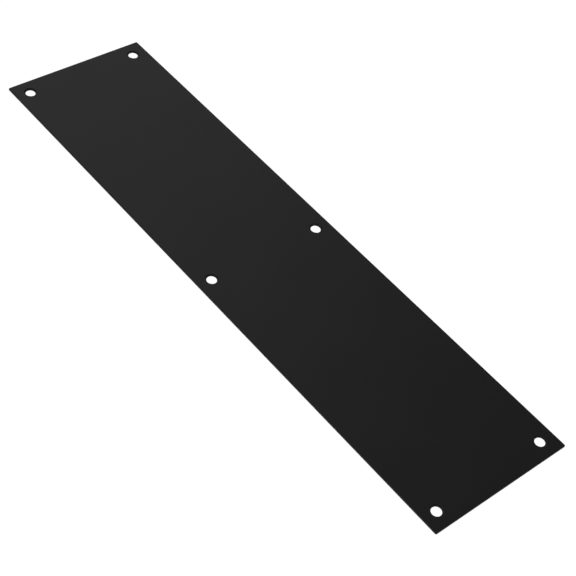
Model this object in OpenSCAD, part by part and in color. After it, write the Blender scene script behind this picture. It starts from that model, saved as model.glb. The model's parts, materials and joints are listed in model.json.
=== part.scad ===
// Kick plate: a flat rectangle of sheet metal that is screwed to the foot of a door, where it
// takes the knocks of shoes. Two rows of countersunk holes run along its long edges.
//
// The plate lies on its back. The origin is the centre of the back face, the one that goes
// against the door. +X runs along the length, +Y across the width, and +Z points out of the
// front face. All sizes are in millimetres and all angles in degrees.

/* [Plate] */
// Length of the plate
plate_length = 406.4; // [150:0.1:900]
// Width of the plate
plate_width = 101.6; // [75:0.1:400]
// Thickness of the sheet
sheet_thickness = 1.27; // [1:0.01:3]
// Radius of the four corners, seen from the front
corner_radius = 0.8; // [0.8:0.1:6]
// Radius of the eased edge round the front face
edge_radius = 0.3; // [0.1:0.05:0.4]

/* [Screw holes] */
// Number of holes along each long edge
holes_per_side = 3; // [2:1:6]
// Distance from the centre of a corner hole to both edges beside it
hole_inset = 10.2; // [8:0.1:15]
// Diameter of the straight part of a hole
hole_diameter = 6.3; // [4:0.1:6.5]
// Length of the straight part of a hole, between the countersink and the back face
straight_length = 0.3; // [0.2:0.05:0.6]
// Angle between the opposite sides of a countersink
countersink_angle = 82; // [82:1:90]

/* [Hidden] */

// Segments of a full turn
$fn = 96;
// Matt near-black of the painted sheet
plate_color = [0.16, 0.16, 0.16];
// How far a cutter runs past the face that it breaks through
overcut = 1;

// From the plate's centre to the centres of its corner radii
corner_x = plate_length / 2 - corner_radius;
corner_y = plate_width / 2 - corner_radius;

// From the plate's centre to the outermost holes
hole_x = plate_length / 2 - hole_inset;
hole_y = plate_width / 2 - hole_inset;
hole_pitch = 2 * hole_x / (holes_per_side - 1);

// The countersink's cutter, which widens at the same angle until it is clear of the front face
cutter_height = sheet_thickness - straight_length + overcut;
cutter_diameter = hole_diameter + 2 * cutter_height * tan(countersink_angle / 2);

// Cross-section of the outermost strip of the sheet, as wide as the corner radius: x runs out to
// the plate's edge, and y from the back face up to the eased corner of the front face
module rim_section() {
    square([corner_radius, sheet_thickness - edge_radius]);
    square([corner_radius - edge_radius, sheet_thickness]);
    translate([corner_radius - edge_radius, sheet_thickness - edge_radius])
        circle(r = edge_radius);
}

// Strip along one edge, centred on the X axis and facing +Y
module rim_strip(length) {
    rotate([90, 0, 90])
        translate([0, 0, -length / 2])
            linear_extrude(length)
                rim_section();
}

// The four strips along the edges, joined round the corners
module rim() {
    for (side = [0, 180]) {
        rotate([0, 0, side])
            translate([0, corner_y, 0])
                rim_strip(2 * corner_x);
        rotate([0, 0, side + 90])
            translate([0, corner_x, 0])
                rim_strip(2 * corner_y);
    }
    for (x = [-corner_x, corner_x], y = [-corner_y, corner_y])
        translate([x, y, 0])
            rotate_extrude()
                rim_section();
}

// The whole sheet, before it is drilled
module sheet() {
    translate([-corner_x, -corner_y, 0])
        cube([2 * corner_x, 2 * corner_y, sheet_thickness]);
    rim();
}

// Cutter for one hole: straight at the back, countersunk from the front
module countersunk_hole() {
    translate([0, 0, -overcut])
        cylinder(d = hole_diameter, h = sheet_thickness + 2 * overcut);
    translate([0, 0, straight_length])
        cylinder(d1 = hole_diameter, d2 = cutter_diameter, h = cutter_height);
}

// The drilled sheet, which is the whole object
module plate() {
    color(plate_color)
        difference() {
            sheet();
            for (column = [0 : holes_per_side - 1], y = [-hole_y, hole_y])
                translate([column * hole_pitch - hole_x, y, 0])
                    countersunk_hole();
        }
}

plate();
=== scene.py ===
import json
import math

import bmesh
import bpy
from mathutils import Matrix, Vector


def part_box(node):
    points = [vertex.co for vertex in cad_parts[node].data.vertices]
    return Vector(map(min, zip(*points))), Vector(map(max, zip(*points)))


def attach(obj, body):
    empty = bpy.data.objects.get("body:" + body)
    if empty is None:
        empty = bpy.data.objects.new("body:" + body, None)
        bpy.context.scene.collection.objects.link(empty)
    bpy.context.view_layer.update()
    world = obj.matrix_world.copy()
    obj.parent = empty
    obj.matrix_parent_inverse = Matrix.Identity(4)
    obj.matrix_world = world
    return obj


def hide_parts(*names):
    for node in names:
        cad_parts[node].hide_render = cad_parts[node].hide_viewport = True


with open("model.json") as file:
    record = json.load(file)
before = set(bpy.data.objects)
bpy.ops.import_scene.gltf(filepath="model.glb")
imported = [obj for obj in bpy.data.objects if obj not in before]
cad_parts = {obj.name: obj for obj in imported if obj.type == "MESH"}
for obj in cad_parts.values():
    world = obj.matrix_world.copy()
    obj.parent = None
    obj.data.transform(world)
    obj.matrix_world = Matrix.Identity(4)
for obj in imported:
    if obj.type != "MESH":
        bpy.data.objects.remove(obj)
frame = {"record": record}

# A kick plate: one flat sheet of metal, painted matt black, with six countersunk screw holes.
#
# Everything is in metres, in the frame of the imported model. The plate lies on its back: +X runs
# along its length, +Y across its width, and +Z points out of its front face. Its size and its
# holes come from the frame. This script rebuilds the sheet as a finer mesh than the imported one,
# with the small roundings that the tools and the paint leave, and gives it its finish.

MM = 0.001
WHITE = (1, 1, 1, 1)

# The sheet's edges, seen in cross-section
CORNER_RADIUS = 0.8 * MM     # of the four corners, seen from the front
FRONT_EASING = 0.3 * MM      # round the front face
BACK_EASING = 0.08 * MM      # round the back face, and round the back of each hole

# The holes, seen in cross-section
COUNTERSINK_ANGLE = math.radians(82)
STRAIGHT_LENGTH = 0.3 * MM   # of the hole behind its countersink
MOUTH_EASING = 0.15 * MM     # where the countersink meets the front face
THROAT_EASING = 0.06 * MM    # where the countersink meets the straight part
FADE = 0.12 * MM             # flat strip beside a rounding, in which its dull finish and its painted shade begin

# The mesh
ARC_STEPS = 5                # segments across each rounding
CORNER_STEPS = 8             # segments round each of the four corners
CELL = 7 * MM                # rough size of the flat faces' cells
PATCH_HALF = 7 * MM          # half the side of the square patch round each hole
PATCH_STEPS = 18             # segments along a side of that patch, a quarter of the hole's
PATCH_SLACK = 0.01 * MM      # so that the points on a patch's outline count as outside it
BLEND_STEPS = 3              # rings between the square patch and the round hole

# The black paint
PAINT_DARK = (0.0250, 0.0250, 0.0251, 1)
PAINT_LIGHT = (0.0272, 0.0272, 0.0273, 1)
EDGE_PAINTED_SHADE = (0.010, 0.010, 0.0101, 1)   # painted shade: a darker colour over the cut edges and in the holes
PAINT_IOR = 1.5
MOTTLE_SIZE = 45 * MM                    # slow change of tone over the sheet
PEEL_SIZE = 1.1 * MM                     # dimples of the dried paint
GRAIN_SIZE = 0.28 * MM                   # its fine matt tooth
GRAIN_HARSHNESS = 0.6                    # how strong the grain's own finer detail is
PEEL_DEPTH = 0.012 * MM
GRAIN_DEPTH = 0.004 * MM
USED_NOISE = (0.3, 0.7)                  # the noise seldom leaves these values
ROUGHNESS_LOW, ROUGHNESS_HIGH = 0.32, 0.38
EDGE_ROUGHNESS = 0.85                    # the paint lies dull on the cut metal

# Places of the Mix node's sockets, which share their names
MIX_SHARE = 0
MIX_VALUES = (2, 3)
MIX_COLOURS = (6, 7)
MIX_VALUE_OUT = 0
MIX_COLOUR_OUT = 2

# The studio
FLOOR_HALF = 20.0            # half the side of the floor
FLOOR_GAP = 0.05 * MM        # keeps the floor clear of the plate's back face
FLOOR_COLOUR = (0.1, 0.1, 0.1, 1)
FLOOR_ROUGHNESS = 0.9
FLOOR_GLOW = 1.0             # a lit white table, on which no shadow shows
HORIZON_LIGHT = 1.05         # white, as far up as a camera near the floor sees
HORIZON_FADE = (math.sin(math.radians(9.5)), math.sin(math.radians(16)))   # full light, no light
WALL_LIGHT = 0.055           # the dim walls and ceiling
GLOW_LIGHT = 0.36            # the soft glow on the wall beyond the plate's -X end
GLOW_SIDE = Vector((-0.80, 0.15, 0.58)).normalized()
GLOW_FADE = (0.785, 0.885)   # cosines of the angles from its middle: no light, full light
KEY_PLACE = Vector((-0.05, -0.95, 0.85))
KEY_SIZE = 1.0               # side of the square softbox
KEY_WATTS = 3.8

# The camera: where it aims, and where it stands from there
AIM = Vector((0.0295, -0.0066, 0.00127))
AZIMUTH = math.radians(40.86)
ELEVATION = math.radians(46.29)
DISTANCE = 0.8168
ROLL = math.radians(12.81)
LENS = 86.9
SENSOR = 36.0


def rounded_profile(corners):
    """A cross-section as a list of (outward, height, on an edge) points.

    Each corner is (outward, height, radius of its rounding), and one without a radius stays sharp.
    """
    points = [(*corners[0][:2], False)]
    for before, corner, after in zip(corners, corners[1:], corners[2:]):
        if not corner[2]:
            points.append((*corner[:2], False))
            continue
        here, radius = Vector(corner[:2]), corner[2]
        back = (Vector(before[:2]) - here).normalized()
        ahead = (Vector(after[:2]) - here).normalized()
        half_angle = back.angle(ahead) / 2
        reach = radius / math.tan(half_angle)
        centre = here + (back + ahead).normalized() * radius / math.sin(half_angle)
        start = (here + back * reach - centre).normalized()
        end = (here + ahead * reach - centre).normalized()
        for step in range(ARC_STEPS + 1):
            points.append((*(centre + start.slerp(end, step / ARC_STEPS) * radius), True))
    points.append((*corners[-1][:2], False))
    return points


def grid_lines(half, holes):
    """Places of the grid lines along one axis, with even steps across the patch round each hole."""
    stops = [-half]
    for hole in holes:
        stops += [hole - PATCH_HALF, hole + PATCH_HALF]
    stops.append(half)
    lines = stops[:1]
    for number, (start, end) in enumerate(zip(stops, stops[1:])):
        on_patch = number % 2 == 1
        steps = PATCH_STEPS if on_patch else max(1, round((end - start) / CELL))
        lines += [start + (end - start) * step / steps for step in range(1, steps + 1)]
    return lines


def nearest(lines, place):
    """Number of the grid line closest to a place."""
    return min(range(len(lines)), key=lambda number: abs(lines[number] - place))


def walk_round(low_i, high_i, low_j, high_j):
    """Grid points round a rectangle, counterclockwise from its lowest corner, as one list for each side."""
    return [
        [(i, low_j) for i in range(low_i, high_i + 1)],
        [(high_i, j) for j in range(low_j, high_j + 1)],
        [(i, high_j) for i in range(high_i, low_i - 1, -1)],
        [(low_i, j) for j in range(high_j, low_j - 1, -1)],
    ]


class PlateMesh:
    """Builds the sheet as a closed mesh of clean quads, with triangles only in its four corners.

    Its "edge" attribute is 1 on the roundings and between them, and 0 on the two flat faces.
    """

    def __init__(self, low, high, hole_places, hole_radius):
        self.low, self.high = low, high
        self.centre = (low + high) / 2
        self.thickness = high.z - low.z
        self.hole_radius = hole_radius
        self.hole_places = hole_places
        half = (high - low) / 2
        self.xs = grid_lines(half.x - CORNER_RADIUS, sorted({x for x, y in hole_places}))
        self.ys = grid_lines(half.y - CORNER_RADIUS, sorted({y for x, y in hole_places}))
        self.bm = bmesh.new()
        self.edge_layer = self.bm.verts.layers.float.new("edge")
        self.front = self.add_face_grid(self.thickness)
        self.back = self.add_face_grid(0)
        for x, y in hole_places:
            self.add_hole(x, y)
        self.add_rim()
        bmesh.ops.recalc_face_normals(self.bm, faces=self.bm.faces)

    def vertex(self, x, y, height, on_edge=False):
        """A new vertex, placed from the centre of the back face."""
        vertex = self.bm.verts.new((self.centre.x + x, self.centre.y + y, self.low.z + height))
        vertex[self.edge_layer] = float(on_edge)
        return vertex

    def in_patch(self, x, y, reach):
        """Whether a place is within reach of a hole, along both axes."""
        return any(abs(x - hole_x) < reach and abs(y - hole_y) < reach for hole_x, hole_y in self.hole_places)

    def add_face_grid(self, height):
        """The flat front or back face, open over each hole's patch. Returns its vertices by grid point."""
        inside = PATCH_HALF - PATCH_SLACK
        grid = {}
        for i, x in enumerate(self.xs):
            for j, y in enumerate(self.ys):
                if not self.in_patch(x, y, inside):
                    grid[i, j] = self.vertex(x, y, height)
        for i, (x, next_x) in enumerate(zip(self.xs, self.xs[1:])):
            for j, (y, next_y) in enumerate(zip(self.ys, self.ys[1:])):
                if not self.in_patch((x + next_x) / 2, (y + next_y) / 2, inside):
                    corners = (i, j), (i + 1, j), (i + 1, j + 1), (i, j + 1)
                    self.bm.faces.new([grid[corner] for corner in corners])
        return grid

    def bridge(self, loop, next_loop):
        """Quads between two closed loops of as many vertices."""
        for number in range(len(loop)):
            edge = loop[number - 1], loop[number]
            next_edge = next_loop[number], next_loop[number - 1]
            self.bm.faces.new(edge + next_edge)

    def hole_profile(self):
        """Cross-section of a hole, from the front face to the back face."""
        mouth_radius = self.hole_radius + (self.thickness - STRAIGHT_LENGTH) * math.tan(COUNTERSINK_ANGLE / 2)
        return rounded_profile([
            (mouth_radius + MOUTH_EASING + FADE, self.thickness, 0),
            (mouth_radius, self.thickness, MOUTH_EASING),
            (self.hole_radius, STRAIGHT_LENGTH, THROAT_EASING),
            (self.hole_radius, 0, BACK_EASING),
            (self.hole_radius + BACK_EASING + FADE, 0, 0),
        ])

    def add_hole(self, x, y):
        """One countersunk hole, from the patch of the front face down to the patch of the back face."""
        sides = walk_round(
            nearest(self.xs, x - PATCH_HALF), nearest(self.xs, x + PATCH_HALF),
            nearest(self.ys, y - PATCH_HALF), nearest(self.ys, y + PATCH_HALF),
        )
        square = [point for side in sides for point in side[:-1]]
        first_angle = -0.75 * math.pi    # towards the patch's lowest corner
        angles = [first_angle + math.tau * number / len(square) for number in range(len(square))]
        directions = [Vector((math.cos(angle), math.sin(angle))) for angle in angles]
        corners = [Vector((self.xs[i] - x, self.ys[j] - y)) for i, j in square]
        profile = self.hole_profile()

        def ring(radius, height, on_edge=False, squareness=0.0):
            """Vertices round the hole: on a circle, or part of the way from it to the square patch."""
            round_places = [direction * radius for direction in directions]
            places = [place.lerp(corner, squareness) for place, corner in zip(round_places, corners)]
            return [self.vertex(x + place.x, y + place.y, height, on_edge) for place in places]

        blends = [1 - step / BLEND_STEPS for step in range(1, BLEND_STEPS)]
        loops = [[self.front[point] for point in square]]
        loops += [ring(profile[0][0], self.thickness, squareness=blend) for blend in blends]
        loops += [ring(*point) for point in profile]
        loops += [ring(profile[-1][0], 0, squareness=blend) for blend in reversed(blends)]
        loops.append([self.back[point] for point in square])
        for loop, next_loop in zip(loops, loops[1:]):
            self.bridge(loop, next_loop)

    def add_rim(self):
        """The strip round the outside: straight along the sides, and turned round the four corners."""
        profile = rounded_profile([
            (0, self.thickness, 0),
            (CORNER_RADIUS - FRONT_EASING - FADE, self.thickness, 0),
            (CORNER_RADIUS, self.thickness, FRONT_EASING),
            (CORNER_RADIUS, 0, BACK_EASING),
            (CORNER_RADIUS - BACK_EASING - FADE, 0, 0),
            (0, 0, 0),
        ])
        quarter = math.pi / 2
        columns = []
        for number, side in enumerate(walk_round(0, len(self.xs) - 1, 0, len(self.ys) - 1)):
            outward = (number - 1) * quarter
            columns += [self.rim_column(point, outward, profile) for point in side]
            for step in range(1, CORNER_STEPS):
                turned = outward + quarter * step / CORNER_STEPS
                columns.append(self.rim_column(side[-1], turned, profile))
        for column, next_column in zip(columns, columns[1:] + columns[:1]):
            for number in range(len(profile) - 1):
                corners = column[number], next_column[number], next_column[number + 1], column[number + 1]
                self.bm.faces.new(dict.fromkeys(corners))   # three of them where both columns meet

    def rim_column(self, point, angle, profile):
        """The cross-section's vertices where it stands on a grid point and faces an angle."""
        i, j = point
        column = [self.front[point]]
        for out, height, on_edge in profile[1:-1]:
            x = self.xs[i] + out * math.cos(angle)
            y = self.ys[j] + out * math.sin(angle)
            column.append(self.vertex(x, y, height, on_edge))
        column.append(self.back[point])
        return column

    def to_object(self, name):
        """The finished mesh as an object in the scene."""
        mesh = bpy.data.meshes.new(name)
        self.bm.to_mesh(mesh)
        self.bm.free()
        mesh.shade_smooth()
        piece = bpy.data.objects.new(name, mesh)
        bpy.context.scene.collection.objects.link(piece)
        return piece


def keep_flats_flat(piece):
    """Weighs each vertex's normal by its faces' areas, so that the flats stay flat up to their roundings."""
    modifier = piece.modifiers.new("weighted_normals", "WEIGHTED_NORMAL")
    modifier.mode = "FACE_AREA"
    modifier.weight = 100
    with bpy.context.temp_override(object=piece, active_object=piece):
        bpy.ops.object.modifier_apply(modifier=modifier.name)


def add_node(tree, kind, inputs, **settings):
    """A node with its inputs set by name, to a value or to another node's output."""
    node = tree.nodes.new(kind)
    for name, value in settings.items():
        setattr(node, name, value)
    for name, value in inputs.items():
        if isinstance(value, bpy.types.NodeSocket):
            tree.links.new(value, node.inputs[name])
        else:
            node.inputs[name].default_value = value
    return node


def noise(tree, place, feature_size, detail, harshness=0.5):
    """Noise between 0 and 1, whose blotches are about feature_size metres across."""
    inputs = {"Vector": place, "Scale": 1 / feature_size, "Detail": detail, "Roughness": harshness}
    return add_node(tree, "ShaderNodeTexNoise", inputs).outputs["Fac"]


def map_range(tree, value, low, high, new_low, new_high, kind="LINEAR"):
    """A value carried over from one range to another, and held at its ends."""
    inputs = {"Value": value, "From Min": low, "From Max": high, "To Min": new_low, "To Max": new_high}
    return add_node(tree, "ShaderNodeMapRange", inputs, interpolation_type=kind).outputs["Result"]


def mix_value(tree, share, first, second):
    """The first value where share is 0, and the second where it is 1."""
    inputs = {MIX_SHARE: share, MIX_VALUES[0]: first, MIX_VALUES[1]: second}
    return add_node(tree, "ShaderNodeMix", inputs, data_type="FLOAT").outputs[MIX_VALUE_OUT]


def mix_colour(tree, share, first, second):
    """The first colour where share is 0, and the second where it is 1."""
    inputs = {MIX_SHARE: share, MIX_COLOURS[0]: first, MIX_COLOURS[1]: second}
    return add_node(tree, "ShaderNodeMix", inputs, data_type="RGBA").outputs[MIX_COLOUR_OUT]


def new_material(name):
    """An empty material, for nodes to be added to."""
    material = bpy.data.materials.new(name)
    material.use_nodes = True
    material.node_tree.nodes.clear()
    return material


def paint_material():
    """Matt black paint: a slow mottle, dimples and a fine tooth, a duller film on the edges, and painted
    shade, a darker colour, on the edges and in the holes.
    """
    material = new_material("matt_black_paint")
    tree = material.node_tree
    place = add_node(tree, "ShaderNodeTexCoord", {}).outputs["Object"]
    edge = add_node(tree, "ShaderNodeAttribute", {}, attribute_name="edge").outputs["Fac"]
    mottle = noise(tree, place, MOTTLE_SIZE, detail=3)
    peel = noise(tree, place, PEEL_SIZE, detail=2)
    grain = noise(tree, place, GRAIN_SIZE, detail=2, harshness=GRAIN_HARSHNESS)

    tone = map_range(tree, mottle, *USED_NOISE, 0, 1, "SMOOTHSTEP")
    sheet_colour = mix_colour(tree, tone, PAINT_DARK, PAINT_LIGHT)
    # painted shade: the edges and the holes take a darker colour than the flat sheet
    colour = mix_colour(tree, edge, sheet_colour, EDGE_PAINTED_SHADE)

    sheet_roughness = map_range(tree, grain, *USED_NOISE, ROUGHNESS_LOW, ROUGHNESS_HIGH)
    roughness = mix_value(tree, edge, sheet_roughness, EDGE_ROUGHNESS)

    dimple_inputs = {"Height": peel, "Distance": PEEL_DEPTH}
    dimples = add_node(tree, "ShaderNodeBump", dimple_inputs).outputs["Normal"]
    tooth_inputs = {"Height": grain, "Distance": GRAIN_DEPTH, "Normal": dimples}
    tooth = add_node(tree, "ShaderNodeBump", tooth_inputs).outputs["Normal"]

    shader = add_node(tree, "ShaderNodeBsdfPrincipled", {
        "Base Color": colour,
        "Roughness": roughness,
        "IOR": PAINT_IOR,
        "Normal": tooth,
    })
    add_node(tree, "ShaderNodeOutputMaterial", {"Surface": shader.outputs["BSDF"]})
    return material


def screw_places(mounts):
    """Centres of the six screw holes, from the plate's centre."""
    corners, middle = mounts["corner_screws"]["dims"], mounts["middle_screws"]["dims"]
    far_x = corners["spacing_x_mm"] * MM / 2
    far_y = corners["spacing_y_mm"] * MM / 2
    middle_y = middle["spacing_y_mm"] * MM / 2
    places = [(x, y) for x in (-far_x, far_x) for y in (-far_y, far_y)]
    return places + [(0, -middle_y), (0, middle_y)]


def build_plate():
    """The whole plate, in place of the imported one."""
    low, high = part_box("plate")
    mounts = {mount["name"]: mount for mount in frame["record"]["mounts"]}
    hole_radius = mounts["corner_screws"]["dims"]["hole_r_mm"] * MM
    plate = PlateMesh(low, high, screw_places(mounts), hole_radius).to_object("kick_plate")
    keep_flats_flat(plate)
    plate.data.materials.append(paint_material())
    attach(plate, "root")
    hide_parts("plate")


def build_floor():
    """A wide white table under the plate."""
    material = new_material("white_floor")
    tree = material.node_tree
    shader = add_node(tree, "ShaderNodeBsdfPrincipled", {
        "Base Color": FLOOR_COLOUR,
        "Roughness": FLOOR_ROUGHNESS,
        "Specular IOR Level": 0.0,
        "Emission Color": WHITE,
        "Emission Strength": FLOOR_GLOW,
    })
    add_node(tree, "ShaderNodeOutputMaterial", {"Surface": shader.outputs["BSDF"]})
    signs = [(-1, -1), (1, -1), (1, 1), (-1, 1)]
    corners = [(x * FLOOR_HALF, y * FLOOR_HALF, -FLOOR_GAP) for x, y in signs]
    mesh = bpy.data.meshes.new("floor")
    mesh.from_pydata(corners, [], [(0, 1, 2, 3)])
    mesh.materials.append(material)
    floor = bpy.data.objects.new("floor", mesh)
    bpy.context.scene.collection.objects.link(floor)


def build_surroundings():
    """Soft light from all round: a bright horizon under dim walls, one of which glows."""
    world = bpy.data.worlds.new("soft_studio")
    bpy.context.scene.world = world
    world.use_nodes = True
    tree = world.node_tree
    tree.nodes.clear()
    direction = add_node(tree, "ShaderNodeTexCoord", {}).outputs["Generated"]
    height = add_node(tree, "ShaderNodeSeparateXYZ", {"Vector": direction}).outputs["Z"]

    dot_inputs = {0: direction, 1: GLOW_SIDE}
    closeness = add_node(tree, "ShaderNodeVectorMath", dot_inputs, operation="DOT_PRODUCT").outputs["Value"]
    walls = map_range(tree, closeness, *GLOW_FADE, WALL_LIGHT, GLOW_LIGHT, "SMOOTHSTEP")
    horizon = map_range(tree, height, *HORIZON_FADE, HORIZON_LIGHT - WALL_LIGHT, 0, "SMOOTHSTEP")
    light = add_node(tree, "ShaderNodeMath", {0: horizon, 1: walls}, operation="ADD").outputs["Value"]
    background = add_node(tree, "ShaderNodeBackground", {"Color": WHITE, "Strength": light})
    add_node(tree, "ShaderNodeOutputWorld", {"Surface": background.outputs["Background"]})


def add_softbox(name, place, size, watts):
    """A square soft light that faces the middle of the plate."""
    data = bpy.data.lights.new(name, "AREA")
    data.shape = "SQUARE"
    data.size = size
    data.energy = watts
    light = bpy.data.objects.new(name, data)
    light.location = place
    light.rotation_mode = "QUATERNION"
    light.rotation_quaternion = place.to_track_quat("Z", "Y")
    bpy.context.scene.collection.objects.link(light)


def build_camera():
    """A camera that looks down along the plate from beyond its +X end."""
    data = bpy.data.cameras.new("camera")
    data.lens = LENS
    data.sensor_width = SENSOR
    camera = bpy.data.objects.new("camera", data)
    bpy.context.scene.collection.objects.link(camera)
    flat = math.cos(ELEVATION)
    back = Vector((math.sin(AZIMUTH) * flat, -math.cos(AZIMUTH) * flat, math.sin(ELEVATION)))
    place = Matrix.Translation(AIM + back * DISTANCE)
    level = back.to_track_quat("Z", "Y").to_matrix().to_4x4()
    camera.matrix_world = place @ level @ Matrix.Rotation(ROLL, 4, "Z")
    bpy.context.scene.camera = camera


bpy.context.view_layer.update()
build_plate()
build_floor()
build_surroundings()
add_softbox("key_light", KEY_PLACE, KEY_SIZE, KEY_WATTS)
build_camera()
bpy.context.scene.view_settings.view_transform = "Standard"
